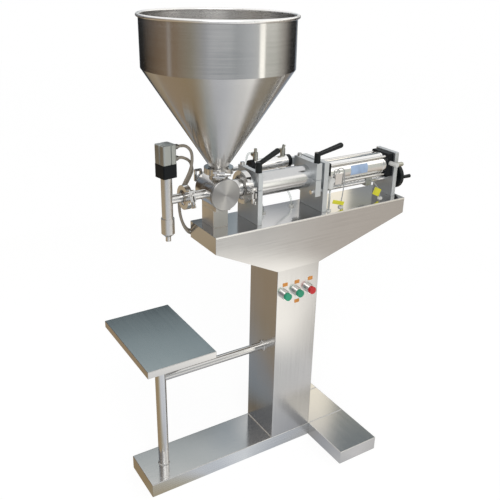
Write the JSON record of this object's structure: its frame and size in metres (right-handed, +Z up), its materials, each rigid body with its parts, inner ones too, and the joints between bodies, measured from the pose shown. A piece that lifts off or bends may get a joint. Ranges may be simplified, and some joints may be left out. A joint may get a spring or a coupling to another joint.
{
  "type": "piston filling machine",
  "caption": "Free-standing piston filler: column stand, conical hopper, rotary valve, horizontal product and air cylinders, shut-off nozzle over a tray, push buttons, volume handwheel.",
  "frame": {"origin": "on the floor, under the axis of the column", "axes": "+Z up, +X along the cylinders towards the handwheel, -Y towards the operator at the buttons"},
  "size_m": [0.9898, 0.496, 1.361],
  "materials": {
    "stand_steel": "brushed",
    "deck_steel": "satin",
    "hopper_steel": "brushed",
    "machined_steel": "fine ground",
    "polished_steel": "polished",
    "bright_steel": "bright",
    "button_metal": "bright",
    "green_plastic": "gloss",
    "red_plastic": "gloss",
    "tube_aluminium": "anodised",
    "black_metal": "black anodised",
    "black_plastic": "moulded",
    "fitting_brass": "plated",
    "bearing_plastic": "machined",
    "seal_rubber": "moulded",
    "grey_hose": "smooth",
    "clear_hose": "translucent",
    "cable_rubber": "smooth"
  },
  "bodies": {
    "root": {"base_beam": "stand_steel", "cross_feet": "stand_steel", "column": "stand_steel", "body_box": "stand_steel", "tray": "stand_steel", "tray_post": "stand_steel", "tray_arm": "stand_steel", "deck_plate": "deck_steel", "hopper": "hopper_steel", "pedestal": "machined_steel", "front_clamp_plate": "machined_steel", "front_clamp_cap": "machined_steel", "rear_clamp_block": "machined_steel", "rear_clamp_cap": "machined_steel", "air_cylinder_front_plate": "machined_steel", "air_cylinder_rear_plate": "machined_steel", "actuator_bracket": "machined_steel", "valve_body": "polished_steel", "valve_cover": "polished_steel", "clamp_jaws": "polished_steel", "nozzle_body": "polished_steel", "nozzle_tip": "polished_steel", "product_cylinder": "polished_steel", "fasteners": "bright_steel", "tie_rods": "bright_steel", "button_bodies": "button_metal", "air_cylinder_tube": "tube_aluminium", "actuator_barrel": "tube_aluminium", "nozzle_air_cylinder": "tube_aluminium", "air_cylinder_heads": "black_metal", "nozzle_adapter": "black_metal", "reed_switch": "black_plastic", "solenoid_manifold": "black_plastic", "air_fittings": "fitting_brass", "rod_bush": "bearing_plastic", "static_seals": "seal_rubber", "nozzle_hose_upper": "grey_hose", "nozzle_hose_lower": "grey_hose", "actuator_hose_front": "clear_hose", "actuator_hose_rear": "clear_hose", "cylinder_hose_front": "clear_hose", "switch_cable_front": "cable_rubber", "switch_cable_rear": "cable_rubber"},
    "piston_group": {"product_piston": "bearing_plastic", "piston_seals": "seal_rubber", "piston_rod": "polished_steel", "air_piston": "tube_aluminium"},
    "valve_rotor": {"valve_spool": "polished_steel", "valve_crank": "polished_steel"},
    "actuator_slider": {"actuator_rod": "polished_steel"},
    "plunger": {"nozzle_plunger": "polished_steel"},
    "front_lever": {"front_clamp_lever": "black_plastic"},
    "rear_lever": {"rear_clamp_lever": "black_plastic"},
    "left_button": {"green_button_left": "green_plastic"},
    "middle_button": {"green_button_right": "green_plastic"},
    "right_button": {"red_button": "red_plastic"},
    "adjuster": {"lead_screw": "polished_steel", "handwheel": "black_plastic"},
    "grip": {"handwheel_grip": "black_plastic"},
    "carriage": {"switch_carriage": "black_plastic"}
  },
  "joints": [
    {"name": "piston_stroke", "type": "slide", "parent": "root", "child": "piston_group", "axis": [1, 0, 0], "range_m": [0, 0.15]},
    {"name": "valve_turn", "type": "hinge", "parent": "root", "child": "valve_rotor", "pos_m": [-0.231, 0, 0.9], "axis": [0, 1, 0], "range_deg": [0, 90]},
    {"name": "actuator_stroke", "type": "slide", "parent": "root", "child": "actuator_slider", "axis": [1, 0, 0], "range_m": [0, 0.051]},
    {"name": "plunger_lift", "type": "slide", "parent": "root", "child": "plunger", "axis": [0, 0, 1], "range_m": [0, 0.012]},
    {"name": "front_lever_turn", "type": "hinge", "parent": "root", "child": "front_lever", "pos_m": [-0.1295, -0.043, 0.95], "axis": [0, 0, 1], "range_deg": [-100, 60]},
    {"name": "rear_lever_turn", "type": "hinge", "parent": "root", "child": "rear_lever", "pos_m": [0.07, -0.043, 0.95], "axis": [0, 0, 1], "range_deg": [-80, 80]},
    {"name": "left_button_press", "type": "slide", "parent": "root", "child": "left_button", "axis": [0, 1, 0], "range_m": [0, 0.004], "stiffness_N_per_m": 500},
    {"name": "middle_button_press", "type": "slide", "parent": "root", "child": "middle_button", "axis": [0, 1, 0], "range_m": [0, 0.004], "stiffness_N_per_m": 500},
    {"name": "right_button_press", "type": "slide", "parent": "root", "child": "right_button", "axis": [0, 1, 0], "range_m": [0, 0.004], "stiffness_N_per_m": 500},
    {"name": "handwheel_turn", "type": "hinge", "parent": "root", "child": "adjuster", "pos_m": [0.415, 0, 0.85], "axis": [1, 0, 0], "range_deg": [-4320, 720]},
    {"name": "grip_spin", "type": "hinge", "parent": "adjuster", "child": "grip", "pos_m": [0.44, -0.032, 0.85], "axis": [1, 0, 0], "continuous": true},
    {"name": "carriage_travel", "type": "slide", "parent": "root", "child": "carriage", "axis": [1, 0, 0], "range_m": [-0.1201, 0.0201]}
  ],
  "couplings": [
    {"joint": "actuator_stroke", "follows": "valve_turn", "m_per_rad": 0.03241},
    {"joint": "carriage_travel", "follows": "handwheel_turn", "m_per_rad": 0.0015915}
  ]
}
